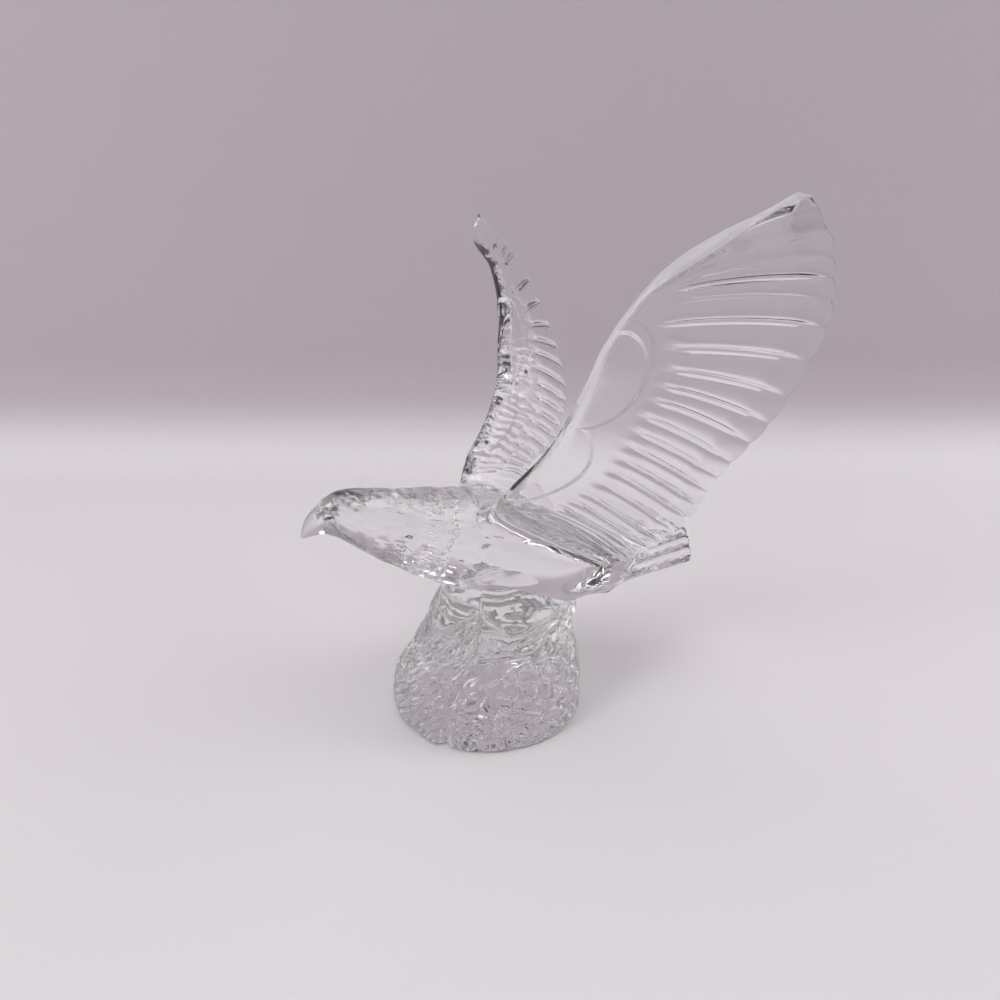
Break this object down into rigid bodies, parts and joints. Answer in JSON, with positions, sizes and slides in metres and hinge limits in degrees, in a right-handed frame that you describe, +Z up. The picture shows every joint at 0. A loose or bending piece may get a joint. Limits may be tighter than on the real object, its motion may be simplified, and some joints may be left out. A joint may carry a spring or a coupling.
{
  "type": "crystal eagle figurine",
  "caption": "Clear crystal eagle with raised fluted wings and a fanned tail, standing on a rough rock and pressed as one solid piece.",
  "frame": {"origin": "middle of the rock's flat underside, on the ground", "axes": "+Z up; the bird faces -Y and its left wing is towards +X"},
  "size_m": [0.1626, 0.1147, 0.1395],
  "materials": {
    "crystal": "gloss"
  },
  "bodies": {
    "root": {"crystal_eagle": "crystal"}
  },
  "joints": []
}
